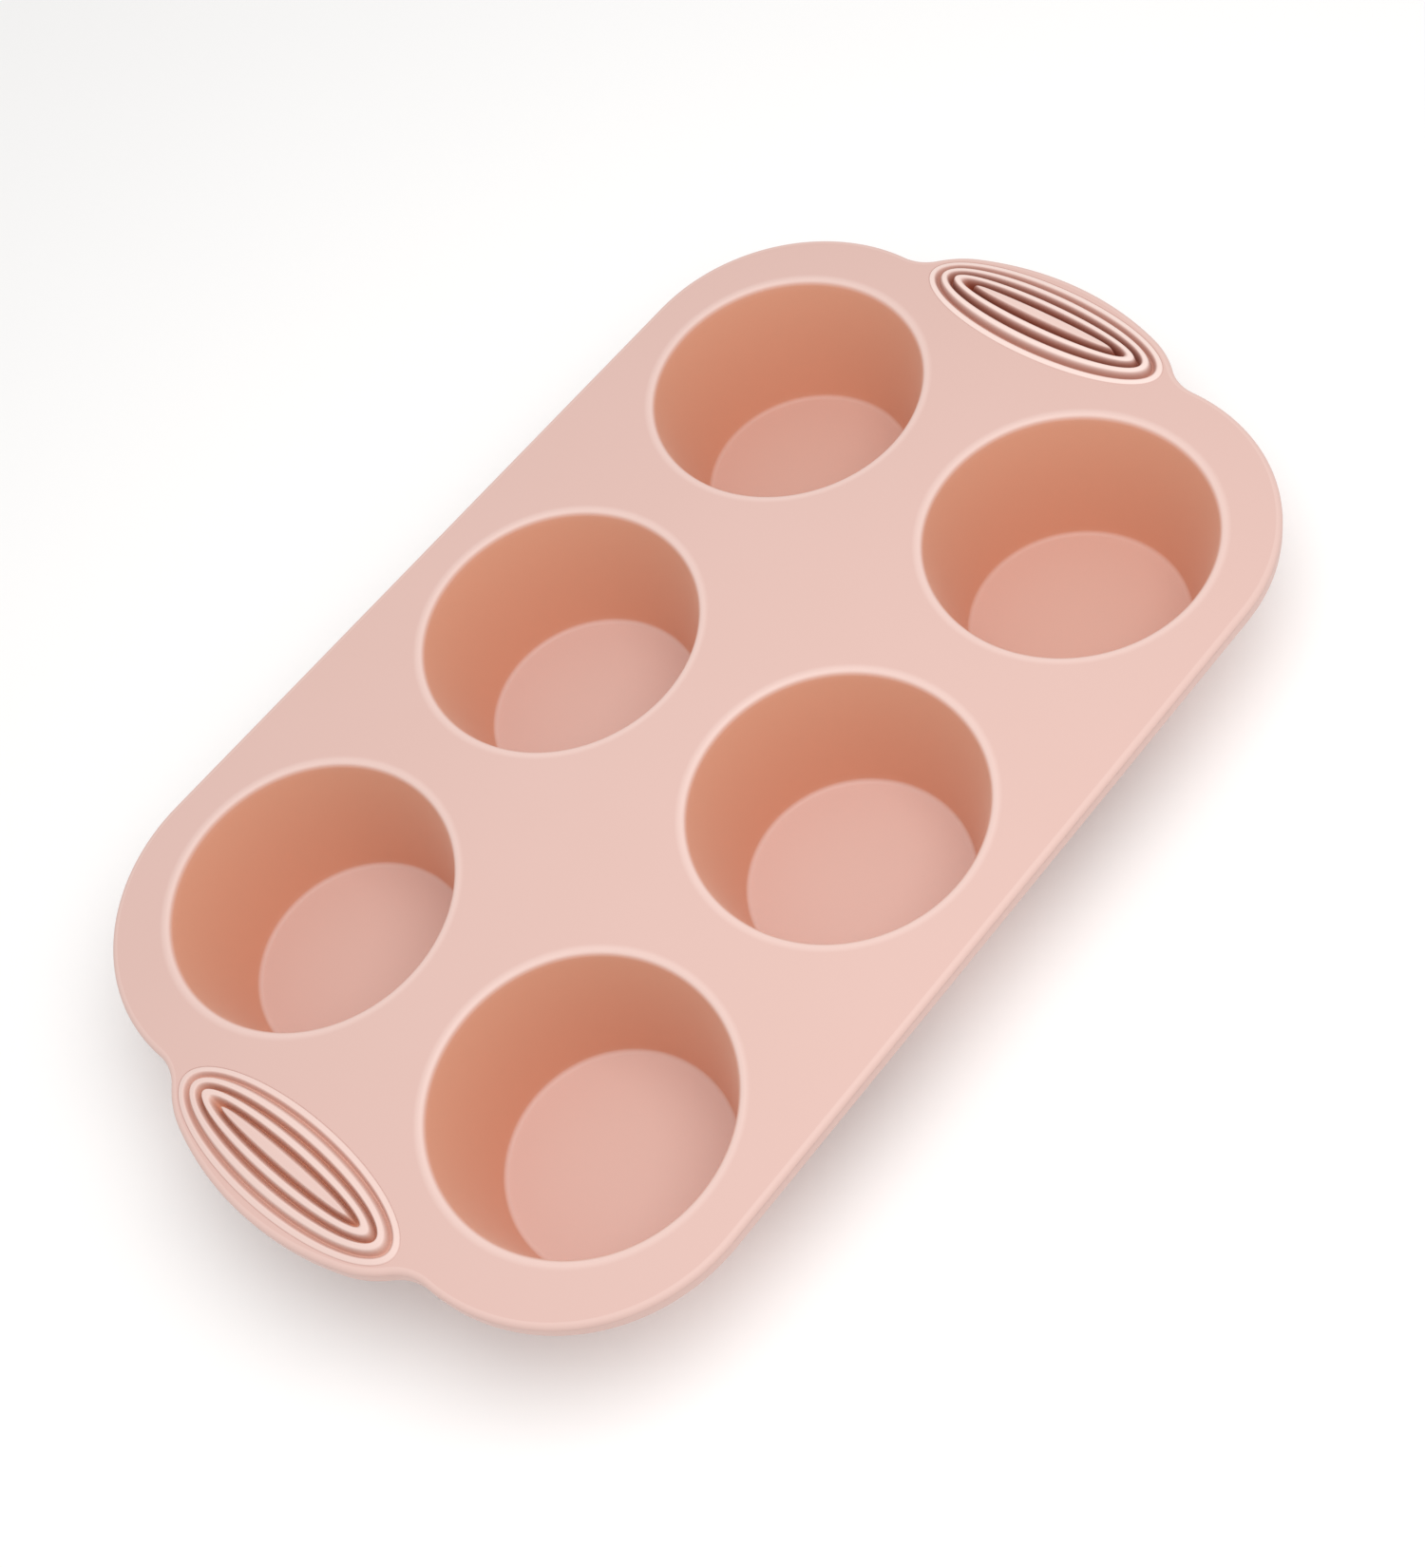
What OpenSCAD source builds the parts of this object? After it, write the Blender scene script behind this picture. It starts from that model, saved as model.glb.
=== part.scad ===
// Six-cup silicone soap mould: a flat sheet with round tapered cups hanging from it,
// a turned-down edge band all round and a ribbed grip at each short end.
// Millimetres, +Z up, +X along the tray. The origin is on the surface that the cups
// stand on, under the middle of the sheet.

/* [Cups] */
// Distance between the centres of neighbouring cups, along and across the tray
cup_pitch = 88.6; // [82:0.2:90]
// Inside diameter of a cup just under its rounded lip
mouth_d = 69.5; // [60:0.5:72]
// Inside diameter of a cup at its floor
floor_d = 56.2; // [50:0.1:58]
// Depth of a cup, from the top of the sheet to its floor
cup_depth = 38.4; // [26:0.2:50]
// Radius of the rounded lip between the sheet and a cup
lip_r = 1.8; // [1.4:0.1:3]
// Radius of the small fillet between a cup's wall and its floor
floor_fillet_r = 1.4; // [0.6:0.1:2]
// Diameter of the middle of a cup's floor, which is pushed up to turn the soap out
push_d = 47; // [40:0.5:49]

/* [Silicone] */
// Thickness of the flat sheet
sheet_t = 2.4; // [1.8:0.1:3]
// Thickness of a cup's wall
wall_t = 1.6; // [1.2:0.1:2]
// Thickness of a cup's floor
floor_t = 2; // [1.6:0.1:3]

/* [Tray outline] */
// Overall length over the grip tabs
tray_l = 305.4; // [305:0.2:312]
// Length of the tray without the grip tabs
body_l = 277.6; // [276:0.2:280]
// Overall width
tray_w = 183.2; // [176:0.2:196]
// Radius of the tray's four corners
corner_r = 46.8; // [40:0.2:48]
// Radius of the tip of a grip tab
tab_tip_r = 80; // [79:1:90]
// Radius of the shoulders of a grip tab
tab_shoulder_r = 26; // [24:0.5:28]
// Radius of the hollow between a grip tab and a corner
tab_hollow_r = 12; // [9:0.5:14]
// Direction in which the tip turns into the shoulder, in degrees from the tray's length
tab_turn = 20; // [19.5:0.5:21]

/* [Edge band] */
// Height of the turned-down edge
edge_h = 5; // [4:0.2:10]
// Thickness of the turned-down edge
edge_t = 1.5; // [1.4:0.1:1.6]
// Rounding of the edge's outer corners
edge_r = 1.3; // [0.6:0.1:1.4]

/* [Grips] */
// Length of a ribbed grip, across the tray
grip_l = 71; // [66:0.2:71.4]
// Width of a ribbed grip, along the tray
grip_w = 23.2; // [21:0.2:23.6]
// Thickness of a grip below the top of the sheet
grip_t = 6; // [5:0.2:8]
// Distance from a grip's middle to the tray's middle
grip_x = 138.4; // [138:0.1:138.5]
// Width of the grooves between the ribs
groove_w = 1.9; // [1.4:0.1:2.4]
// Depth of the grooves below the top of the sheet
groove_h = 0.8; // [0.4:0.1:2]
// Height of the middle rib above the top of the sheet
crown_h = 2.2; // [1:0.1:3]

/* [Hidden] */
columns = ["left", "middle", "right"];
rows = ["front", "back"];
$fn = 96;

// Heights
top_z = floor_t + cup_depth;
sheet_z = top_z - sheet_t;

// Cups: the wall's taper, its inside radius at a height, and its slanted thickness
mouth_r = mouth_d/2;
floor_r = floor_d/2;
push_r = push_d/2;
taper = atan((mouth_r - floor_r)/(cup_depth - lip_r));
wall_slant_t = wall_t/cos(taper);
function wall_r(z) = floor_r + (z - floor_t)*tan(taper);
lip_z = top_z - lip_r;
lip_x = wall_r(lip_z + lip_r*sin(taper)) + lip_r*cos(taper);
seam_r = lip_x + 1;
fillet_z = floor_t + floor_fillet_r;
fillet_x = wall_r(fillet_z - floor_fillet_r*sin(taper)) - floor_fillet_r*cos(taper);
foot_round_r = 1;
foot_x = wall_r(foot_round_r*(1 - sin(taper))) + wall_slant_t - foot_round_r*cos(taper);
push_gap = 0.3;
round_steps = 5;

// Outline: centres of the arcs of the quarter with positive X and Y
half_w = tray_w/2;
corner_c = [body_l/2 - corner_r, half_w - corner_r];
tip_c = [tray_l/2 - tab_tip_r, 0];
shoulder_c = tip_c + (tab_tip_r - tab_shoulder_r)*[cos(tab_turn), sin(tab_turn)];
hollow_c = outside_touching(corner_c, corner_r, shoulder_c, tab_shoulder_r, tab_hollow_r);
corner_from = direction(hollow_c - corner_c);
shoulder_to = direction(hollow_c - shoulder_c);

// Grips: grooves lie on ellipses whose half-lengths grow a little faster than their half-widths,
// and faster still inside the first rib
rib_growth = 1.135;
lens_growth = 1.1;
first_rib_at = 4;
groove_at = [2.3, 5.65, 9.15];

function direction(v) = atan2(v.y, v.x);

// Centre of the circle of radius r that touches circle p and circle q from outside
function outside_touching(p, p_r, q, q_r, r) =
    let (
        d = norm(q - p),
        u = (q - p)/d,
        a = (pow(p_r + r, 2) - pow(q_r + r, 2) + d*d)/(2*d),
        h = sqrt(pow(p_r + r, 2) - a*a)
    ) p + a*u + h*[-u.y, u.x];

function arc(c, r, from, to, steps) =
    [for (i = [0 : steps]) let (a = from + (to - from)*i/steps) c + r*[cos(a), sin(a)]];

function rest(list) = [for (i = [1 : len(list) - 1]) list[i]];
function backwards(list) = [for (i = [len(list) - 1 : -1 : 0]) list[i]];

// One quarter of the outline, drawn the given distance inside the tray's edge, from the tip
// of a grip tab to the end of the corner
function quarter_outline(inset) = concat(
    arc(tip_c, tab_tip_r - inset, 0, tab_turn, 3),
    rest(arc(shoulder_c, tab_shoulder_r - inset, tab_turn, shoulder_to, 3)),
    rest(arc(hollow_c, tab_hollow_r + inset, 180 + shoulder_to, 180 + corner_from, 4)),
    rest(arc(corner_c, corner_r - inset, corner_from, 90, 14))
);
function right_outline(inset) =
    let (q = quarter_outline(inset)) concat([for (p = backwards(rest(q))) [p.x, -p.y]], q);
function tray_outline(inset) = let (r = right_outline(inset)) concat(r, -r);

module at_cup(column, row) {
    translate([(column - 1)*cup_pitch, (row - 0.5)*cup_pitch, 0]) children();
}

module at_every_cup() {
    for (column = [0 : 2], row = [0 : 1]) at_cup(column, row) children();
}

// side is -1 for the left grip and 1 for the right one
module at_grip(side) {
    translate([side*grip_x, 0, 0]) children();
}

// Ellipse of a grip, counted by its half-width
module grip_ellipse(half_width) {
    half_length = grip_l/2 - rib_growth*(grip_w/2 - half_width)
        - lens_growth*max(first_rib_at - half_width, 0);
    polygon([for (a = [0 : 6 : 354]) [half_width*cos(a), half_length*sin(a)]]);
}

// Section of the edge band: the distance inside the tray's edge, and the height
edge_section = concat(
    [[edge_t, top_z - edge_h]],
    arc([edge_r, top_z - edge_h + edge_r], edge_r, 270, 180, round_steps),
    arc([edge_r, top_z - edge_r], edge_r, 180, 90, round_steps),
    [[edge_t, top_z]]
);

module sheet() {
    color("#ECC7BB") translate([0, 0, sheet_z]) difference() {
        linear_extrude(sheet_t) polygon(tray_outline(edge_t));
        at_every_cup() translate([0, 0, -1]) cylinder(h = sheet_t + 2, r = seam_r);
        for (side = [-1, 1]) at_grip(side) translate([0, 0, -1])
            linear_extrude(sheet_t + 2) grip_ellipse(grip_w/2);
    }
}

// The section carried round the outline, one loop of points for each of its own points
module edge_band() {
    loops = [for (s = edge_section) [for (p = tray_outline(s.x)) [p.x, p.y, s.y]]];
    rings = len(loops);
    n = len(loops[0]);
    color("#E3BDB2") polyhedron(
        points = [for (loop = loops) each loop],
        faces = [
            for (j = [0 : rings - 1], i = [0 : n - 1])
                [j*n + i, ((j + 1) % rings)*n + i, ((j + 1) % rings)*n + (i + 1) % n, j*n + (i + 1) % n]
        ]
    );
}

// The ribs rise in a low crown from the grip's rim to its middle rib
module grip() {
    rim = grip_w/2;
    outer = concat([for (g = groove_at) g - groove_w/2], [rim]);
    inner = concat([0], [for (g = groove_at) g + groove_w/2]);
    translate([0, 0, top_z - grip_t]) {
        linear_extrude(grip_t - groove_h) grip_ellipse(rim);
        for (i = [0 : len(outer) - 1]) {
            crown = crown_h*(1 - pow((inner[i] + outer[i])/2/rim, 2));
            linear_extrude(grip_t + crown) difference() {
                grip_ellipse(outer[i]);
                if (inner[i] > 0) grip_ellipse(inner[i]);
            }
        }
    }
}

module grip_left() {
    color("#DDB0A2") at_grip(-1) grip();
}

module grip_right() {
    color("#DDB0A2") at_grip(1) grip();
}

// Half section of a cup's wall, from the lip in the sheet down to the foot that it stands on
module wall_section() {
    polygon(concat(
        [[seam_r, top_z]],
        arc([lip_x, lip_z], lip_r, 90, 180 - taper, round_steps),
        arc([fillet_x, fillet_z], floor_fillet_r, -taper, -90, round_steps),
        [[push_r, floor_t], [push_r, 0]],
        arc([foot_x, foot_round_r], foot_round_r, -90, -taper, round_steps),
        [[wall_r(sheet_z) + wall_slant_t, sheet_z], [seam_r, sheet_z]]
    ));
}

module cup_wall(column, row) {
    color("#C98A6C") at_cup(column, row) rotate_extrude() wall_section();
}

// The middle of a cup's floor, which the thumbs push up through the cup
module cup_floor(column, row) {
    color("#E3AE9D") at_cup(column, row) cylinder(h = floor_t, r = push_r - push_gap);
}

sheet();
edge_band();
grip_left();
grip_right();
for (c = [0 : 2], r = [0 : 1]) {
    cup_wall(c, r);
    cup_floor(c, r);
}
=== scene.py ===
"""Silicone soap mould: the looks of the sheet, edge, grips and cups, laid out as an add-on."""

import math

import bmesh
import bpy
from bpy.props import FloatProperty, FloatVectorProperty, PointerProperty, StringProperty
from mathutils import Matrix, Vector
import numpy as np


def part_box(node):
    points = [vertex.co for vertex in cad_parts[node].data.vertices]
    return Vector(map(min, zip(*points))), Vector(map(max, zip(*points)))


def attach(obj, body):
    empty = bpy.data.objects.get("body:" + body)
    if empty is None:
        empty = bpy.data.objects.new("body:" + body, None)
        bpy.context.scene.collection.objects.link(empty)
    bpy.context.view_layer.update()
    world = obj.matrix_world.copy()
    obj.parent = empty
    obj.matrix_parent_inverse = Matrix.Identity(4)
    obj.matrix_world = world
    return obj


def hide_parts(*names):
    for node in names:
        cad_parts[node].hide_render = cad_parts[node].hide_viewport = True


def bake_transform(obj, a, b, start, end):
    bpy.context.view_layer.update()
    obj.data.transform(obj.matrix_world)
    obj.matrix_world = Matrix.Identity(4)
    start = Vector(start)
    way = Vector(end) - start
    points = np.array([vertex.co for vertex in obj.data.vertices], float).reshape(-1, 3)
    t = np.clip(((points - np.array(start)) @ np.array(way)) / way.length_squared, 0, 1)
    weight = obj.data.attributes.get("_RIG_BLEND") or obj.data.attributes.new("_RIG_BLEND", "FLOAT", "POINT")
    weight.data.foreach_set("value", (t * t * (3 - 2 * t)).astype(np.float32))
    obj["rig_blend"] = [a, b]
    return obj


bl_info = {
    "name": "Silicone soap mould",
    "version": (1, 0, 0),
    "blender": (4, 5, 0),
    "location": "View3D > Sidebar > Soap mould",
    "description": "Builds a six-cup silicone soap mould around its packed frame",
    "category": "Object",
}

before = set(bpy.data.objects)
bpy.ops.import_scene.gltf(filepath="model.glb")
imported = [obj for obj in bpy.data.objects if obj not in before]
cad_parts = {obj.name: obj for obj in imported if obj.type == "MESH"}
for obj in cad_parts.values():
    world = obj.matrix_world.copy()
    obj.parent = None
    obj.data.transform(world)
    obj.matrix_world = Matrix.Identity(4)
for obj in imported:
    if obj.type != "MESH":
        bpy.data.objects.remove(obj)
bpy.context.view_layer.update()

COLUMNS = ("left", "middle", "right")
ROWS = ("front", "back")
CUPS = [f"{column}_{row}" for column in COLUMNS for row in ROWS]

# What the frame says: heights, half sizes and the places of cups and grips, in metres
SHEET_LOW, SHEET_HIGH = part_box("sheet")
EDGE_LOW, EDGE_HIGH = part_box("edge_band")
GRIP_LOW, GRIP_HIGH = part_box("grip_right")
WALL_LOW, WALL_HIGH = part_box("cup_wall_right_back")
DISC_LOW, DISC_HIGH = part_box("cup_floor_right_back")
TOP_Z = SHEET_HIGH.z
SHEET_Z = SHEET_LOW.z
SEAM_RADIUS = (WALL_HIGH.x - WALL_LOW.x) / 2
FLOOR_Z = DISC_HIGH.z
DISC_GAP = 0.0003
PUSH_RADIUS = (DISC_HIGH.x - DISC_LOW.x) / 2 + DISC_GAP
GRIP_X = (GRIP_LOW.x + GRIP_HIGH.x) / 2
GRIP_HALF_WIDTH = (GRIP_HIGH.x - GRIP_LOW.x) / 2
GRIP_HALF_LENGTH = (GRIP_HIGH.y - GRIP_LOW.y) / 2

# Values that every vertex carries for the material, from 0 to 1: its shares of painted recess shade,
# of painted highlight and of painted groove shade
RECESS_SHADE = "painted_recess_shade"
PAINTED_HIGHLIGHT = "painted_highlight"
GROOVE_SHADE = "painted_groove_shade"

# Steps round a cup, round a grip, along a small rounding and down a cup's wall, and rings of faces
# on a grip and on a cup's floor
CUP_STEPS = 192
GRIP_STEPS = 240
ROUND_STEPS = 10
WALL_STEPS = 24
GRIP_RINGS = 116
FLOOR_RINGS = 12
# Steps along the parts of the outline: a tab's tip, shoulder and hollow, a corner, half a long side
TIP_STEPS, SHOULDER_STEPS, HOLLOW_STEPS, CORNER_STEPS, SIDE_STEPS = 14, 12, 12, 48, 24

# Roundings that are too small to be worth a setting, in metres
EDGE_FOOT_INNER_ROUND = 0.0004
GRIP_UNDER_CHAMFER = 0.0012
# The turned-down edge is rounded at its foot by this share of its upper rounding
EDGE_FOOT_SHARE = 0.6
# The chamfer under a grip bulges: its middle point is this share of the chamfer in and up
CHAMFER_BULGE = 0.3
# A cup's wall starts to move with its floor this far under the sheet
STILL_COLLAR = 0.002

# How the grips' painted light follows their ribs: the powers by which the painted highlight falls off
# from the crests, and the painted recess shade and painted groove shade from the grooves
HIGHLIGHT_POWER, RECESS_SHADE_POWER, GROOVE_SHADE_POWER = 5, 0.6, 0.3
# Share of the grooves' depth that is left at a grip's rim, and of the painted highlight at its middle
RIM_GROOVE_SHARE = 0.45
MIDDLE_HIGHLIGHT_SHARE = 0.5
# Where the painted highlight on a cup's lip is strongest and how far it reaches, as shares of the lip's
# rounding
LIP_HIGHLIGHT_AT, LIP_HIGHLIGHT_REACH = 0.12, 0.3

# Width of the pigment's clouds and of the glossier patches in metres, and how much the patches'
# roughness goes up and down
CLOUD_WIDTH = 0.040
PATCH_WIDTH = 0.015
PATCH_ROUGHNESS = 0.05
STUDIO_FLOOR_SIZE = 4.0


def cup_centre(cup):
    low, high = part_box("cup_wall_" + cup)
    return Vector(((low.x + high.x) / 2, (low.y + high.y) / 2))


# ---------------------------------------------------------------- settings


def length(name, description, default):
    return FloatProperty(name=name, description=description, default=default, min=0.0, unit="LENGTH",
                         subtype="DISTANCE", precision=5)


def lengths(name, description, default):
    return FloatVectorProperty(name=name, description=description, default=default, unit="LENGTH",
                               precision=5)


def angle(name, description, degrees):
    return FloatProperty(name=name, description=description, default=math.radians(degrees),
                         subtype="ANGLE")


def share(name, description, default):
    return FloatProperty(name=name, description=description, default=default, min=0.0, max=1.0,
                         subtype="FACTOR")


def shares_of_both(name, description, default):
    return FloatVectorProperty(name=name, description=description, default=default, size=2,
                               min=0.0, max=1.0)


def hex_colour(name, description, default):
    return StringProperty(name=name, description=description + ", as sRGB hex", default=default)


class MouldTraySettings(bpy.types.PropertyGroup):
    """Sizes of the flat sheet's outline and of its turned-down edge, and the painted highlight on the edge.
    """
    body_length: length("Body length", "Length of the tray without its grip tabs", 0.2776)
    corner_radius: length("Corner radius", "Radius of the tray's four corners", 0.0468)
    tip_radius: length("Tab tip radius", "Radius of the tip of a grip tab", 0.080)
    shoulder_radius: length("Tab shoulder radius", "Radius of a grip tab's shoulders", 0.026)
    hollow_radius: length("Hollow radius", "Radius of the hollow between a grip tab and a corner", 0.012)
    tab_turn: angle("Tab turn", "Direction in which a tab's tip turns into its shoulder", 20)
    edge_thickness: length("Edge thickness", "Thickness of the turned-down edge", 0.0015)
    edge_round: length("Edge rounding", "Rounding of the edge's outer corners", 0.0013)
    edge_fillet: length("Edge fillet", "Fillet under the sheet where the edge turns down", 0.0008)
    # Painted highlight along the edge's upper rounding
    edge_highlight: share("Edge bloom", "How rubbed and pale the edge's upper corner is", 0.2)


class MouldGripSettings(bpy.types.PropertyGroup):
    """Shape of the ribs on a grip, and the painted shade and painted highlight that follow them."""
    lens_width: length("Middle rib", "Half the width of the flat top of the lens-shaped middle rib", 0.0009)
    grooves: lengths("Grooves", "Half-widths of the ellipses along the grooves' bottoms",
                     (0.0023, 0.00565, 0.00915))
    crests: lengths("Crests", "Half-widths of the ellipses along the ribs' crests",
                    (0.0040, 0.00745, 0.0109))
    crest_width: length("Crest width", "Width of a rib's flat crest", 0.0007)
    groove_depth: length("Groove depth", "Depth of the grooves below the top of the sheet", 0.0016)
    rim_depth: length("Rim depth", "Depth of the fine groove round the grip", 0.0001)
    narrowing: FloatProperty(name="Narrowing", description="How much narrower than the ribs the grooves look",
                             default=1.7)
    # Painted shade in the left and the right grip's grooves
    groove_shade: shares_of_both("Dirt", "How dirty the left and the right grip's grooves are", (0.0, 1.0))
    # Painted highlight on the left and the right grip's ribs
    rib_highlight: shares_of_both("Bloom", "How rubbed and pale the left and the right grip's ribs are", (0.6, 1.0))
    growth: FloatProperty(name="Growth", description="How much faster the ribs grow in length than in width",
                          default=1.135)
    lens_growth: FloatProperty(name="Lens growth", default=1.1,
                               description="How much faster still inside the first rib's crest")


class MouldCupSettings(bpy.types.PropertyGroup):
    """Section of a cup, and the painted shade and painted highlight on its wall, lip and floor."""
    mouth_radius: length("Mouth radius", "Inside radius just under the rounded lip", 0.03475)
    floor_radius: length("Floor radius", "Inside radius at the floor", 0.0281)
    lip_round: length("Lip rounding", "Radius of the rounded lip", 0.0018)
    floor_fillet: length("Floor fillet", "Radius of the fillet between wall and floor", 0.0014)
    wall_thickness: length("Wall thickness", "Thickness of a cup's wall", 0.0016)
    foot_round: length("Foot rounding", "Rounding of the foot's outer corner", 0.0010)
    under_fillet: length("Fillet under the sheet", "Fillet outside a cup where it joins the sheet", 0.0016)
    # Painted highlight on the lips
    lip_highlight: share("Lip bloom", "How rubbed and pale the lips are", 0.5)
    # Painted shade on the floors, set for each column of cups
    floor_shade_shares: FloatVectorProperty(name="Floor shares", default=(0.1, 0.1, 0.3),
                                      description="How far the floors of the left, middle and right cups "
                                                  "take the cups' deeper colour")
    # Painted highlight on the floors, set for each column of cups
    floor_highlights: FloatVectorProperty(name="Floor blooms", default=(0.24, 0.2, 0.04),
                                      description="How rubbed and pale the floors of the left, middle and "
                                                  "right cups are")


class MouldFinishSettings(bpy.types.PropertyGroup):
    """Colour and surface of the silicone, and the colours of its painted shade and painted highlight."""
    pigment: hex_colour("Pigment", "Colour of the silicone", "D5B2A9")
    pigment_dense: hex_colour("Dense pigment", "Colour where the pigment is denser", "D3B0A6")
    # Painted shade: a deeper, more orange colour for the shaded insides of the cups and grooves
    recess_shade_colour: hex_colour("Core pigment", "Colour inside the cups", "DCA286")
    # Painted highlight colour of lips, crests, the edge and the floors
    highlight_colour: hex_colour("Bloom", "Colour of rubbed, raised edges", "EAD2CA")
    # Painted shade colour of the grips' grooves
    groove_shade: hex_colour("Dirt", "Colour of the dirt in the grips' grooves", "8C2E06")
    face_roughness: share("Face roughness", "Roughness of all faces", 0.52)
    grain: length("Grain", "Spacing of the grain left by the blasted mould steel", 0.0007)


class MouldStudioSettings(bpy.types.PropertyGroup):
    """Camera, lights and floor."""
    target: lengths("Target", "Point on top of the sheet that the camera looks at",
                    (-0.01219, -0.01716, TOP_Z))
    azimuth: angle("Azimuth", "Direction of the camera round the tray", -119.67)
    elevation: angle("Elevation", "Height of the camera over the tray", 57.16)
    roll: angle("Roll", "Turn of the camera about its line of sight", 22.89)
    distance: length("Distance", "Distance from the camera to its target", 0.5014)
    lens: FloatProperty(name="Lens", description="Focal length in millimetres", default=49.96, unit="CAMERA")
    key_power: FloatProperty(name="Key power", description="Power of the softbox over the tray", default=1.2,
                             unit="POWER")
    key_size: length("Key size", "Width of the round softbox", 0.40)
    key_place: lengths("Key place", "Where the softbox hangs", (0.0, -0.155, 0.48))
    sky: FloatProperty(name="Sky", description="Strength of the even light all round", default=0.8)


SETTINGS = {
    "mould_tray": MouldTraySettings,
    "mould_grip": MouldGripSettings,
    "mould_cup": MouldCupSettings,
    "mould_finish": MouldFinishSettings,
    "mould_studio": MouldStudioSettings,
}

# ---------------------------------------------------------------- materials


def linear(code):
    """An sRGB hex colour as linear red, green, blue and alpha."""
    values = [int(code[i:i + 2], 16) / 255 for i in (0, 2, 4)]
    return [v / 12.92 if v <= 0.04045 else ((v + 0.055) / 1.055) ** 2.4 for v in values] + [1.0]


def add_node(tree, kind, settings=(), links=()):
    """Adds a node, sets its attributes or input values, and links outputs to its inputs."""
    node = tree.nodes.new(kind)
    for name, value in dict(settings).items():
        if isinstance(name, str) and hasattr(node, name):
            setattr(node, name, value)
        else:
            node.inputs[name].default_value = value
    for name, output in dict(links).items():
        tree.links.new(output, node.inputs[name])
    return node


def moulded_silicone(finish_and_painted_light):
    """Platinum-cured silicone rubber pressed in a fine-blasted steel mould. The eye gets a soft satin
    veil instead of a gloss, a very fine even grain, and a faint unevenness of the pigment. Painted
    shade darkens the cups and the grips' grooves, and painted highlights pale the lips, crests and edge."""
    found = bpy.data.materials.get("moulded_satin_silicone")
    if found:
        return found
    material = bpy.data.materials.new("moulded_satin_silicone")
    material.use_nodes = True
    tree = material.node_tree
    tree.nodes.clear()
    place = add_node(tree, "ShaderNodeTexCoord").outputs["Object"]

    # Pigment stirred into the gum: soft clouds some 40 mm across
    clouds = add_node(tree, "ShaderNodeTexNoise", {"Scale": 1 / CLOUD_WIDTH, "Detail": 3.0, "Roughness": 0.5},
                      {"Vector": place})
    pigment = add_node(tree, "ShaderNodeMix", {"data_type": "RGBA", 6: linear(finish_and_painted_light.pigment),
                                               7: linear(finish_and_painted_light.pigment_dense)},
                       {0: clouds.outputs["Fac"]})

    # Painted shade: the cups' insides and the slopes of the grips' grooves take a deeper, more orange
    # colour, for the shade and the light bounced between their walls
    inside = add_node(tree, "ShaderNodeAttribute", {"attribute_name": RECESS_SHADE}).outputs["Fac"]
    colour = add_node(tree, "ShaderNodeMix", {"data_type": "RGBA", 7: linear(finish_and_painted_light.recess_shade_colour)},
                      {0: inside, 6: pigment.outputs[2]})

    # Painted highlight: lips, rib crests, the edge's upper rounding and the cups' floors are made paler
    highlight_share = add_node(tree, "ShaderNodeAttribute", {"attribute_name": PAINTED_HIGHLIGHT}).outputs["Fac"]
    highlighted = add_node(tree, "ShaderNodeMix", {"data_type": "RGBA", 7: linear(finish_and_painted_light.highlight_colour)},
                       {0: highlight_share, 6: colour.outputs[2]})

    # Painted shade: the grips' grooves are darkened towards a red-brown, by default only on the right grip
    groove_shade = add_node(tree, "ShaderNodeAttribute", {"attribute_name": GROOVE_SHADE}).outputs["Fac"]
    groove_shaded = add_node(tree, "ShaderNodeMix", {"data_type": "RGBA", 7: linear(finish_and_painted_light.groove_shade)},
                    {0: groove_shade, 6: highlighted.outputs[2]})

    # Handling and powder leave patches of slightly higher gloss, some 15 mm across
    patches = add_node(tree, "ShaderNodeTexNoise", {"Scale": 1 / PATCH_WIDTH, "Detail": 2.0},
                       {"Vector": place})
    gloss = add_node(tree, "ShaderNodeMapRange", {"To Min": finish_and_painted_light.face_roughness - PATCH_ROUGHNESS,
                                                  "To Max": finish_and_painted_light.face_roughness + PATCH_ROUGHNESS},
                     {"Value": patches.outputs["Fac"]})

    # Grain of the blasted steel: real grains are 0.1 mm, drawn coarser so that they show
    grain = add_node(tree, "ShaderNodeTexNoise", {"Scale": 1 / finish_and_painted_light.grain, "Detail": 2.0, "Roughness": 0.6},
                     {"Vector": place})
    bump = add_node(tree, "ShaderNodeBump", {"Strength": 0.25, "Distance": 0.00004},
                    {"Height": grain.outputs["Fac"]})

    shader = add_node(tree, "ShaderNodeBsdfPrincipled",
                      {"IOR": 1.41, "Sheen Weight": 0.12, "Sheen Roughness": 0.4},
                      {"Base Color": groove_shaded.outputs[2], "Roughness": gloss.outputs["Result"],
                       "Normal": bump.outputs["Normal"]})
    add_node(tree, "ShaderNodeOutputMaterial", {}, {"Surface": shader.outputs["BSDF"]})
    return material


def painted_floor():
    """Matt white studio board, which gives the eye only its paleness."""
    material = bpy.data.materials.new("matt_white_board")
    material.use_nodes = True
    shader = material.node_tree.nodes["Principled BSDF"]
    shader.inputs["Base Color"].default_value = linear("FDFCFB")
    shader.inputs["Roughness"].default_value = 0.9
    shader.inputs["Specular IOR Level"].default_value = 0.1
    return material


# ---------------------------------------------------------------- shapes


def arc(centre, radius, start, end, steps):
    """Points on an arc from one direction to another, in radians, both ends included."""
    turns = [start + (end - start) * i / steps for i in range(steps + 1)]
    return [Vector((centre[0] + radius * math.cos(a), centre[1] + radius * math.sin(a))) for a in turns]


def circle(centre, radius, steps):
    return arc(centre, radius, 0.0, 2 * math.pi * (steps - 1) / steps, steps - 1)


def smooth_step(value):
    value = min(max(value, 0.0), 1.0)
    return value * value * (3 - 2 * value)


def direction(vector):
    return math.atan2(vector.y, vector.x)


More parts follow.
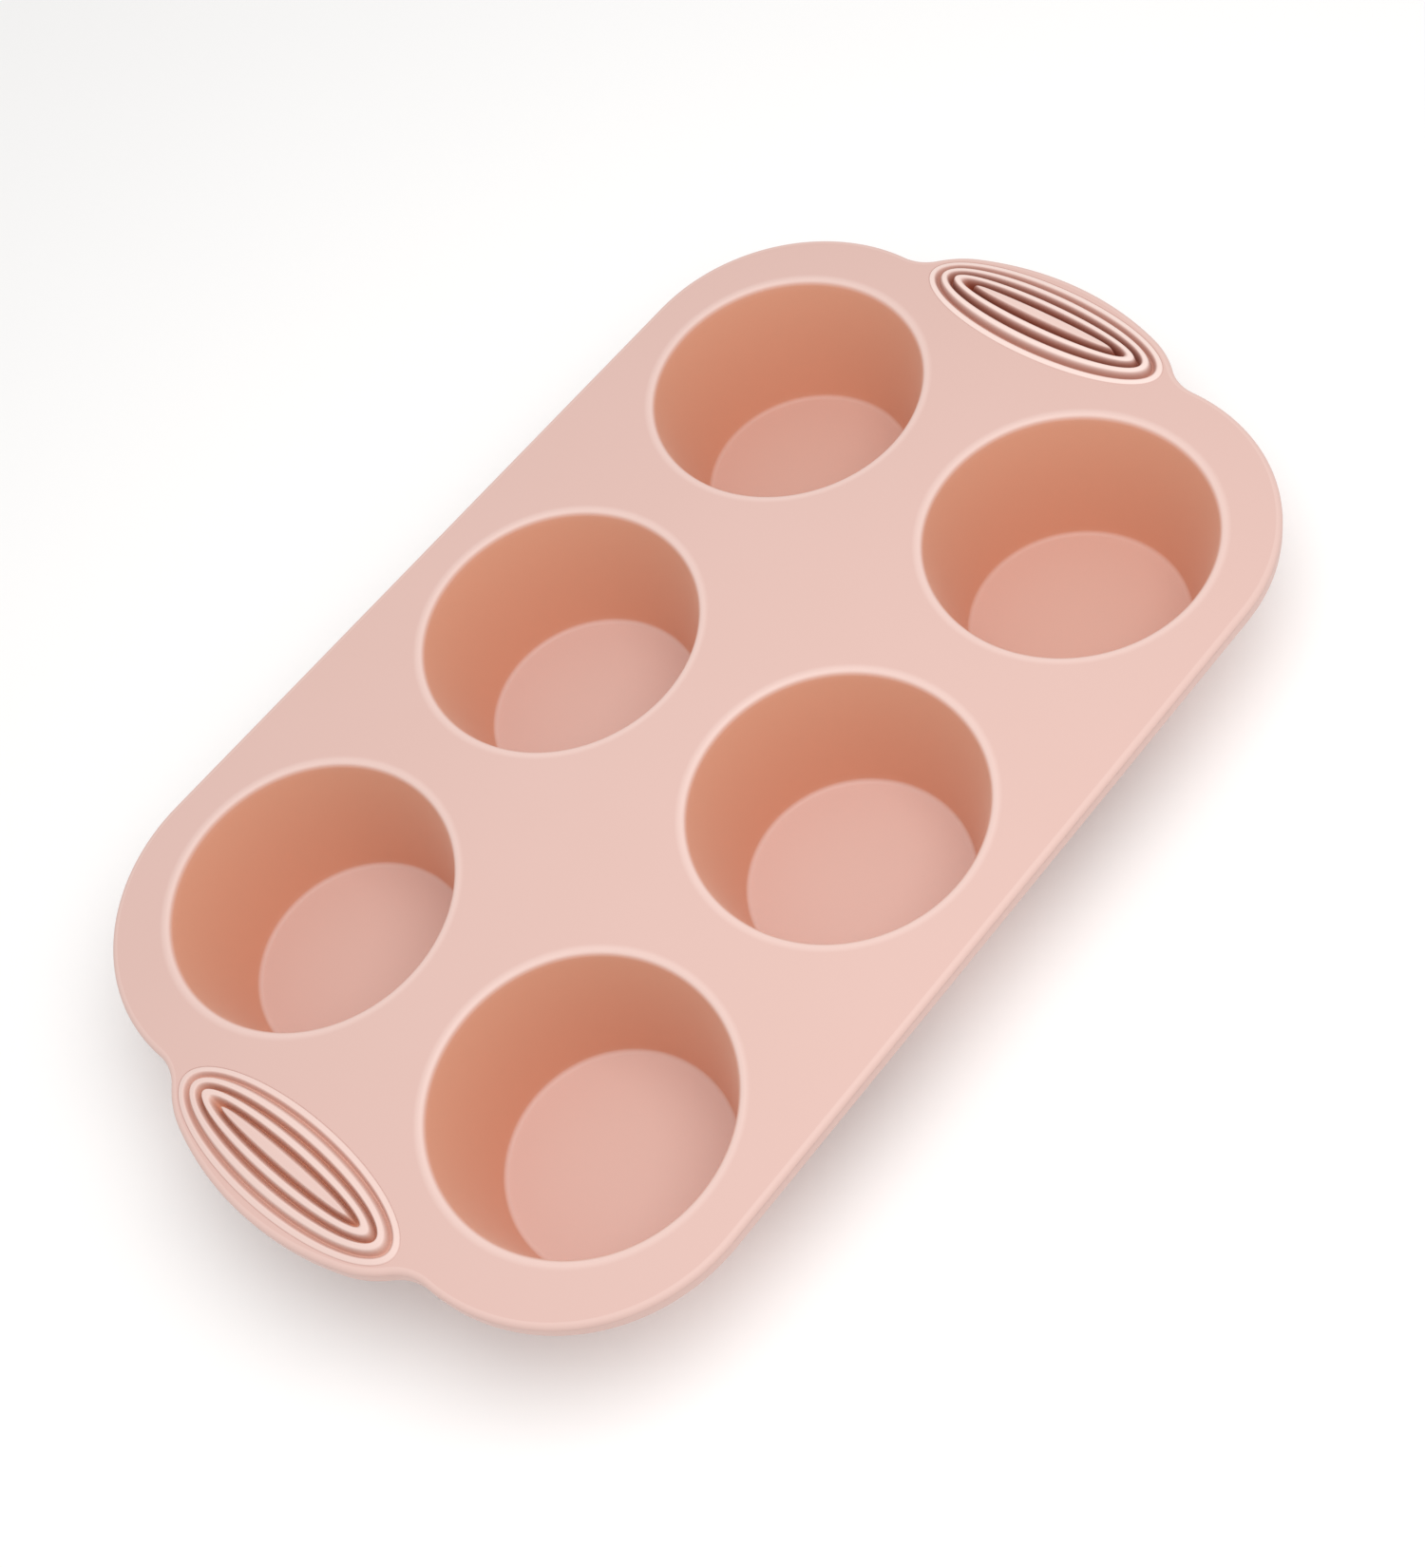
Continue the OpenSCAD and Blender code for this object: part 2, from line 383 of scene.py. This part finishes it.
def outside_touching(p, p_radius, q, q_radius, radius):
    """Centre of the circle of a radius that touches two circles from outside."""
    apart = (q - p).length
    along = (q - p) / apart
    step = ((p_radius + radius) ** 2 - (q_radius + radius) ** 2 + apart ** 2) / (2 * apart)
    rise = math.sqrt((p_radius + radius) ** 2 - step ** 2)
    return p + step * along + rise * Vector((-along.y, along.x))


def tray_outline(tray, inset):
    """The tray's outline, drawn a distance inside its edge, anticlockwise from above."""
    half_width = EDGE_HIGH.y
    corner = Vector((tray.body_length / 2 - tray.corner_radius, half_width - tray.corner_radius))
    tip = Vector((EDGE_HIGH.x - tray.tip_radius, 0.0))
    towards = Vector((math.cos(tray.tab_turn), math.sin(tray.tab_turn)))
    shoulder = tip + (tray.tip_radius - tray.shoulder_radius) * towards
    hollow = outside_touching(corner, tray.corner_radius, shoulder, tray.shoulder_radius, tray.hollow_radius)
    corner_from = direction(hollow - corner)
    shoulder_to = direction(hollow - shoulder)
    quarter = (arc(tip, tray.tip_radius - inset, 0.0, tray.tab_turn, TIP_STEPS)
               + arc(shoulder, tray.shoulder_radius - inset, tray.tab_turn, shoulder_to, SHOULDER_STEPS)[1:]
               + arc(hollow, tray.hollow_radius + inset, math.pi + shoulder_to, math.pi + corner_from,
                     HOLLOW_STEPS)[1:]
               + arc(corner, tray.corner_radius - inset, corner_from, math.pi / 2, CORNER_STEPS)[1:])
    quarter += [Vector((corner.x * (1 - i / SIDE_STEPS), half_width - inset)) for i in range(1, SIDE_STEPS)]
    right = [Vector((p.x, -p.y)) for p in reversed(quarter[1:])] + quarter
    left = [-p for p in right]
    return right + [Vector((0.0, half_width - inset))] + left + [Vector((0.0, inset - half_width))]


def grip_ellipse(grip, half_width, centre_x):
    """One loop of the family of ellipses that the ribs follow, counted by its half-width."""
    half_length = GRIP_HALF_LENGTH - grip.growth * (GRIP_HALF_WIDTH - half_width)
    half_length -= grip.lens_growth * max(grip.crests[0] - half_width, 0.0)
    turns = [2 * math.pi * i / GRIP_STEPS for i in range(GRIP_STEPS)]
    return [Vector((centre_x + half_width * math.cos(a), half_length * math.sin(a))) for a in turns]


def new_piece(name, mesh_data, material, sharp=math.radians(40)):
    """Turns a bmesh into a smooth-shaded object that keeps its sharp corners."""
    bmesh.ops.recalc_face_normals(mesh_data, faces=mesh_data.faces)
    mesh = bpy.data.meshes.new(name)
    mesh_data.to_mesh(mesh)
    mesh_data.free()
    mesh.shade_smooth()
    mesh.set_sharp_from_angle(angle=sharp)
    mesh.materials.append(material)
    piece = bpy.data.objects.new(name, mesh)
    bpy.context.scene.collection.objects.link(piece)
    return piece


def new_mesh_data():
    """An empty bmesh whose vertices say, from 0 to 1, how much painted shade of the cups and grooves,
    painted highlight and painted shade in the grips' grooves they take."""
    mesh_data = bmesh.new()
    for name in (RECESS_SHADE, PAINTED_HIGHLIGHT, GROOVE_SHADE):
        mesh_data.verts.layers.float.new(name)
    return mesh_data


def add_vert(mesh_data, point, z, recess_shade_share=0.0, highlight_share=0.0, groove_shade=0.0):
    vert = mesh_data.verts.new((point.x, point.y, z))
    for name, value in ((RECESS_SHADE, recess_shade_share), (PAINTED_HIGHLIGHT, highlight_share), (GROOVE_SHADE, groove_shade)):
        vert[mesh_data.verts.layers.float[name]] = value
    return vert


def add_loop(mesh_data, points, z, recess_shade_share=0.0, highlight_share=0.0, groove_shade=0.0):
    return [add_vert(mesh_data, p, z, recess_shade_share, highlight_share, groove_shade) for p in points]


def join_loops(mesh_data, low, high):
    """A band of four-sided faces between two closed loops with as many points."""
    for i in range(len(low)):
        j = (i + 1) % len(low)
        mesh_data.faces.new((low[i], low[j], high[j], high[i]))


def turned(section, shares, centre):
    """A closed section of (radius, height) points, with its shares of painted shade and painted highlight,
    turned about a cup's axis."""
    mesh_data = new_mesh_data()
    loops = [add_loop(mesh_data, circle(centre, p.x, CUP_STEPS), p.y, *values)
             for p, values in zip(section, shares)]
    for i, loop in enumerate(loops):
        join_loops(mesh_data, loop, loops[(i + 1) % len(loops)])
    return mesh_data


# ---------------------------------------------------------------- pieces


def finish_of(scene):
    return moulded_silicone(scene.mould_finish)


class MOULD_OT_sheet(bpy.types.Operator):
    """Builds the flat sheet with its openings for six cups and two grips"""
    bl_idname = "mould.sheet"
    bl_label = "Flat sheet"

    def execute(self, context):
        tray, grip = context.scene.mould_tray, context.scene.mould_grip
        outlines = [tray_outline(tray, tray.edge_thickness)]
        outlines += [circle(cup_centre(cup), SEAM_RADIUS, CUP_STEPS) for cup in CUPS]
        outlines += [grip_ellipse(grip, GRIP_HALF_WIDTH, side * GRIP_X) for side in (-1, 1)]
        mesh_data = new_mesh_data()
        faces_at = []
        loops_at = []
        for z in (SHEET_Z, TOP_Z):
            loops = [add_loop(mesh_data, outline, z) for outline in outlines]
            edges = [mesh_data.edges.new((loop[i - 1], loop[i])) for loop in loops for i in range(len(loop))]
            filled = bmesh.ops.triangle_fill(mesh_data, edges=edges, use_beauty=True, normal=(0, 0, 1))
            faces_at.append([f for f in filled["geom"] if isinstance(f, bmesh.types.BMFace)])
            loops_at.append(loops)
        if not all(faces_at):
            raise RuntimeError("the sheet's faces could not be filled")
        for low, high in zip(*loops_at):
            join_loops(mesh_data, low, high)
        sheet = new_piece("silicone_sheet", mesh_data, finish_of(context.scene))
        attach(sheet, "tray")
        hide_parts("sheet")
        return {"FINISHED"}


def edge_section(tray):
    """Section of the turned-down edge as (distance inside the outline, height) points: down its
    inner side, round its foot, and up its outer side to the top."""
    foot_z = EDGE_LOW.z
    thick, rounding, fillet = tray.edge_thickness, tray.edge_round, tray.edge_fillet
    inner, outer = EDGE_FOOT_INNER_ROUND, rounding * EDGE_FOOT_SHARE
    return ([Vector((thick, TOP_Z)), Vector((thick, SHEET_Z)), Vector((thick + fillet, SHEET_Z))]
            + arc((thick + fillet, SHEET_Z - fillet), fillet, math.pi / 2, math.pi, ROUND_STEPS)[1:]
            + [Vector((thick, foot_z + inner * 2))]
            + arc((thick - inner, foot_z + inner), inner, 0.0, -math.pi / 2, 4)
            + arc((outer, foot_z + outer), outer, -math.pi / 2, -math.pi, ROUND_STEPS)
            + [Vector((0.0, foot_z + (TOP_Z - foot_z) * i / 4)) for i in (1, 2, 3)]
            + arc((rounding, TOP_Z - rounding), rounding, math.pi, math.pi / 2, ROUND_STEPS))


class MOULD_OT_edge_band(bpy.types.Operator):
    """Builds the turned-down edge that runs all round the sheet"""
    bl_idname = "mould.edge_band"
    bl_label = "Turned-down edge"

    def execute(self, context):
        tray = context.scene.mould_tray
        mesh_data = new_mesh_data()
        loops = []
        for p in edge_section(tray):
            # Painted highlight that fades down the edge's upper rounding
            highlight_share = tray.edge_highlight * smooth_step(1 - (TOP_Z - p.y) / tray.edge_round)
            loops.append(add_loop(mesh_data, tray_outline(tray, p.x), p.y, 0.0, highlight_share))
        for i, loop in enumerate(loops):
            join_loops(mesh_data, loop, loops[(i + 1) % len(loops)])
        band = new_piece("silicone_edge_band", mesh_data, finish_of(context.scene))
        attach(band, "tray")
        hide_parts("edge_band")
        return {"FINISHED"}


def rib_face(grip, half_width):
    """Height over the sheet of the ribbed face where the ellipse of a half-width passes, how high
    on a rib that is, from 0 in a groove to 1 on a crest, and how the relief fades to the rim."""
    stations = [0.0, grip.lens_width]
    levels = [1, 1]
    for groove, crest in zip(grip.grooves, grip.crests):
        stations += [groove, crest - grip.crest_width / 2, crest + grip.crest_width / 2]
        levels += [0, 1, 1]
    spans = zip(stations, stations[1:] + [GRIP_HALF_WIDTH], levels, levels[1:] + [0])
    start, end, low, high = next(span for span in spans if half_width <= span[1] + 1e-9)
    level = low + (high - low) * smooth_step((half_width - start) / (end - start))
    level = 1 - (1 - level) ** grip.narrowing
    fade = 1 - (half_width / GRIP_HALF_WIDTH) ** 2
    if end == GRIP_HALF_WIDTH:
        depth = grip.rim_depth
    else:
        depth = grip.groove_depth * (RIM_GROOVE_SHARE + (1 - RIM_GROOVE_SHARE) * fade)
    return level * (GRIP_HIGH.z - TOP_Z) * fade - (1 - level) * depth, level, fade


def rib_painted_light(grip, half_width, level, fade, groove_shade, rib_highlight):
    """Shares of painted recess shade, painted highlight and painted groove shade there: paler towards
    the crests, and deeper in colour and darker towards the grooves' bottoms."""
    from_middle = smooth_step(half_width / grip.crests[0])
    return (fade * (1 - level) ** RECESS_SHADE_POWER,
            rib_highlight * level ** HIGHLIGHT_POWER * (MIDDLE_HIGHLIGHT_SHARE + (1 - MIDDLE_HIGHLIGHT_SHARE) * from_middle),
            groove_shade * fade * (1 - level) ** GROOVE_SHADE_POWER)


class MOULD_OT_grips(bpy.types.Operator):
    """Builds the ribbed grip at each short end"""
    bl_idname = "mould.grips"
    bl_label = "Ribbed grips"

    def execute(self, context):
        grip = context.scene.mould_grip
        for side, name, groove_shade, rib_highlight in zip((-1, 1), ("grip_left", "grip_right"), grip.groove_shade, grip.rib_highlight):
            mesh_data = new_mesh_data()
            loops = []
            for i in range(GRIP_RINGS + 1):
                half_width = GRIP_HALF_WIDTH * i / GRIP_RINGS
                height, level, fade = rib_face(grip, half_width)
                ellipse = grip_ellipse(grip, half_width, side * GRIP_X)
                # Painted shade and painted highlight along the ribs
                finish_and_painted_light = rib_painted_light(grip, half_width, level, fade, groove_shade, rib_highlight)
                loops.append(add_loop(mesh_data, ellipse, TOP_Z + height, *finish_and_painted_light))
            under = GRIP_UNDER_CHAMFER
            for inset, above in ((0.0, under), (under * CHAMFER_BULGE, under * CHAMFER_BULGE), (under, 0.0)):
                ellipse = grip_ellipse(grip, GRIP_HALF_WIDTH - inset, side * GRIP_X)
                loops.append(add_loop(mesh_data, ellipse, GRIP_LOW.z + above))
            for low, high in zip(loops, loops[1:]):
                join_loops(mesh_data, low, high)
            mesh_data.faces.new(loops[-1])
            bmesh.ops.remove_doubles(mesh_data, verts=loops[0], dist=1e-7)
            piece = new_piece("silicone_" + name, mesh_data, finish_of(context.scene), math.radians(60))
            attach(piece, "tray")
            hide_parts(name)
        return {"FINISHED"}


def wall_section(cup):
    """Closed section of a cup's wall as (radius, height) points, from the lip down to the floor's
    ring, and back up outside to the underside of the sheet."""
    taper = math.atan((cup.mouth_radius - cup.floor_radius) / (TOP_Z - FLOOR_Z - cup.lip_round))
    slanted = cup.wall_thickness / math.cos(taper)
    sin, cos = math.sin(taper), math.cos(taper)

    def inside(z):
        return cup.floor_radius + (z - FLOOR_Z) * math.tan(taper)

    lip_z = TOP_Z - cup.lip_round
    lip_x = inside(lip_z + cup.lip_round * sin) + cup.lip_round * cos
    fillet_z = FLOOR_Z + cup.floor_fillet
    fillet_x = inside(fillet_z - cup.floor_fillet * sin) - cup.floor_fillet * cos
    foot_x = inside(cup.foot_round * (1 - sin)) + slanted - cup.foot_round * cos
    under_z = SHEET_Z - cup.under_fillet
    under_x = inside(under_z + cup.under_fillet * sin) + slanted + cup.under_fillet * cos
    lip = arc((lip_x, lip_z), cup.lip_round, math.pi / 2, math.pi - taper, ROUND_STEPS)
    fillet = arc((fillet_x, fillet_z), cup.floor_fillet, -taper, -math.pi / 2, ROUND_STEPS)
    foot = arc((foot_x, cup.foot_round), cup.foot_round, -math.pi / 2, -taper, ROUND_STEPS)
    under = arc((under_x, under_z), cup.under_fillet, math.pi - taper, math.pi / 2, ROUND_STEPS)
    down = [lip[-1].lerp(fillet[0], i / WALL_STEPS) for i in range(1, WALL_STEPS)]
    up = [foot[-1].lerp(under[0], i / WALL_STEPS) for i in range(1, WALL_STEPS)]
    inner = lip + down + fillet + [Vector((PUSH_RADIUS, FLOOR_Z))]
    outer = ([Vector((PUSH_RADIUS, 0.0))] + foot + up + under
             + [Vector((SEAM_RADIUS, SHEET_Z)), Vector((SEAM_RADIUS, TOP_Z))])
    return inner, outer


def floor_painted_light(settings, cup):
    """Shares of painted shade and painted highlight of a cup's flat floor, set for each column of cups."""
    column = COLUMNS.index(cup.split("_")[0])
    return settings.floor_shade_shares[column], settings.floor_highlights[column]


def wall_shares(settings, cup, inner):
    """Shares of painted shade and painted highlight of each point of a wall's inner side. There is no
    painted shade on top of the lip, full painted shade on the wall and a little on the flat floor. The
    top of the lip and the floor get a painted highlight."""
    floor_shade, floor_highlight = floor_painted_light(settings, cup)
    shares = []
    for p in inner:
        down_lip = (TOP_Z - p.y) / settings.lip_round
        up_fillet = smooth_step((p.y - FLOOR_Z) / settings.floor_fillet)
        # Painted shade down the wall and on the floor, painted highlight near the top of the lip and on the
        # floor
        wall_shade_share = smooth_step(down_lip) * (floor_shade + (1 - floor_shade) * up_fillet)
        on_lip = smooth_step(1 - abs(down_lip - LIP_HIGHLIGHT_AT) / LIP_HIGHLIGHT_REACH)
        shares.append((wall_shade_share, settings.lip_highlight * on_lip + floor_highlight * (1 - up_fillet)))
    return shares


class MOULD_OT_cup_walls(bpy.types.Operator):
    """Builds the six tapered cup walls with their rounded lips"""
    bl_idname = "mould.cup_walls"
    bl_label = "Cup walls"

    def execute(self, context):
        settings = context.scene.mould_cup
        inner, outer = wall_section(settings)
        for cup in CUPS:
            centre = cup_centre(cup)
            shares = wall_shares(settings, cup, inner) + [(0.0, 0.0)] * len(outer)
            turning = turned(inner + outer, shares, centre)
            wall = new_piece("silicone_cup_wall_" + cup, turning, finish_of(context.scene))
            start = (centre.x, centre.y, SHEET_Z - STILL_COLLAR)
            end = (centre.x, centre.y, FLOOR_Z + settings.floor_fillet)
            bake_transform(wall, "tray", "floor_" + cup, start=start, end=end)
            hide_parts("cup_wall_" + cup)
        return {"FINISHED"}


class MOULD_OT_cup_floors(bpy.types.Operator):
    """Builds the push-out middle of each cup's floor"""
    bl_idname = "mould.cup_floors"
    bl_label = "Cup floors"

    def execute(self, context):
        for cup in CUPS:
            centre = cup_centre(cup)
            mesh_data = new_mesh_data()
            radii = [PUSH_RADIUS * i / FLOOR_RINGS for i in range(FLOOR_RINGS, 0, -1)]
            rims = []
            # The floor's top takes its painted shade and painted highlight
            for z, shares in ((FLOOR_Z, floor_painted_light(context.scene.mould_cup, cup)), (0.0, ())):
                loops = [add_loop(mesh_data, circle(centre, r, CUP_STEPS), z, *shares) for r in radii]
                for outer, inner in zip(loops, loops[1:]):
                    join_loops(mesh_data, outer, inner)
                middle = add_vert(mesh_data, centre, z, *shares)
                ring = loops[-1]
                for i in range(CUP_STEPS):
                    mesh_data.faces.new((ring[i - 1], ring[i], middle))
                rims.append(loops[0])
            join_loops(mesh_data, *rims)
            floor = new_piece("silicone_cup_floor_" + cup, mesh_data, finish_of(context.scene))
            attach(floor, "floor_" + cup)
            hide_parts("cup_floor_" + cup)
        return {"FINISHED"}


# ---------------------------------------------------------------- stage


def camera_matrix(studio):
    """Where the camera stands and how it is turned."""
    e, a = studio.elevation, studio.azimuth
    away = Vector((math.cos(e) * math.cos(a), math.cos(e) * math.sin(a), math.sin(e)))
    level = (-away).to_track_quat("-Z", "Y").to_matrix().to_4x4()
    roll = Matrix.Rotation(-studio.roll, 4, "Z")
    return Matrix.Translation(Vector(studio.target) + studio.distance * away) @ level @ roll


def overhead_light(studio):
    """A round softbox hung over the tray, a little towards its near side."""
    light = bpy.data.lights.new("overhead_softbox", "AREA")
    light.shape = "DISK"
    light.size = studio.key_size
    light.energy = studio.key_power
    lamp = bpy.data.objects.new("overhead_softbox", light)
    lamp.location = studio.key_place
    lamp.rotation_euler = (-lamp.location).to_track_quat("-Z", "Y").to_euler()
    lamp.visible_camera = False
    bpy.context.scene.collection.objects.link(lamp)


def studio_sky(studio):
    """An even white light all round."""
    world = bpy.data.worlds.new("studio_sky")
    world.use_nodes = True
    background = world.node_tree.nodes["Background"]
    background.inputs["Color"].default_value = linear("FFFFFF")
    background.inputs["Strength"].default_value = studio.sky
    return world


class MOULD_OT_stage(bpy.types.Operator):
    """Sets the pale floor, the soft lights and the camera"""
    bl_idname = "mould.stage"
    bl_label = "Stage"

    def execute(self, context):
        scene, studio = context.scene, context.scene.mould_studio
        mesh_data = bmesh.new()
        bmesh.ops.create_grid(mesh_data, x_segments=1, y_segments=1, size=STUDIO_FLOOR_SIZE)
        mesh = bpy.data.meshes.new("studio_floor")
        mesh_data.to_mesh(mesh)
        mesh_data.free()
        mesh.materials.append(painted_floor())
        floor = bpy.data.objects.new("studio_floor", mesh)
        scene.collection.objects.link(floor)

        overhead_light(studio)
        scene.world = studio_sky(studio)
        scene.view_settings.view_transform = "Standard"

        camera = bpy.data.cameras.new("camera")
        camera.lens = studio.lens
        camera.clip_start = 0.01
        holder = bpy.data.objects.new("camera", camera)
        holder.matrix_world = camera_matrix(studio)
        scene.collection.objects.link(holder)
        scene.camera = holder
        return {"FINISHED"}


class MOULD_PT_sidebar(bpy.types.Panel):
    """Lists the mould's pieces and their settings"""
    bl_idname = "MOULD_PT_sidebar"
    bl_label = "Soap mould"
    bl_space_type = "VIEW_3D"
    bl_region_type = "UI"
    bl_category = "Soap mould"

    def draw(self, context):
        for operator in BUILD_ORDER:
            self.layout.operator(operator.bl_idname)
        for name, group in SETTINGS.items():
            box = self.layout.box()
            box.label(text=group.__doc__)
            for prop in group.__annotations__:
                box.prop(getattr(context.scene, name), prop)


BUILD_ORDER = (MOULD_OT_stage, MOULD_OT_sheet, MOULD_OT_edge_band, MOULD_OT_grips, MOULD_OT_cup_walls,
               MOULD_OT_cup_floors)
CLASSES = tuple(SETTINGS.values()) + BUILD_ORDER + (MOULD_PT_sidebar,)


def register():
    for cls in CLASSES:
        bpy.utils.register_class(cls)
    for name, group in SETTINGS.items():
        setattr(bpy.types.Scene, name, PointerProperty(type=group))


def unregister():
    for name in SETTINGS:
        delattr(bpy.types.Scene, name)
    for cls in reversed(CLASSES):
        bpy.utils.unregister_class(cls)


def main():
    register()
    bpy.ops.mould.stage()
    bpy.ops.mould.sheet()
    bpy.ops.mould.edge_band()
    bpy.ops.mould.grips()
    bpy.ops.mould.cup_walls()
    bpy.ops.mould.cup_floors()


if __name__ == "__main__":
    main()
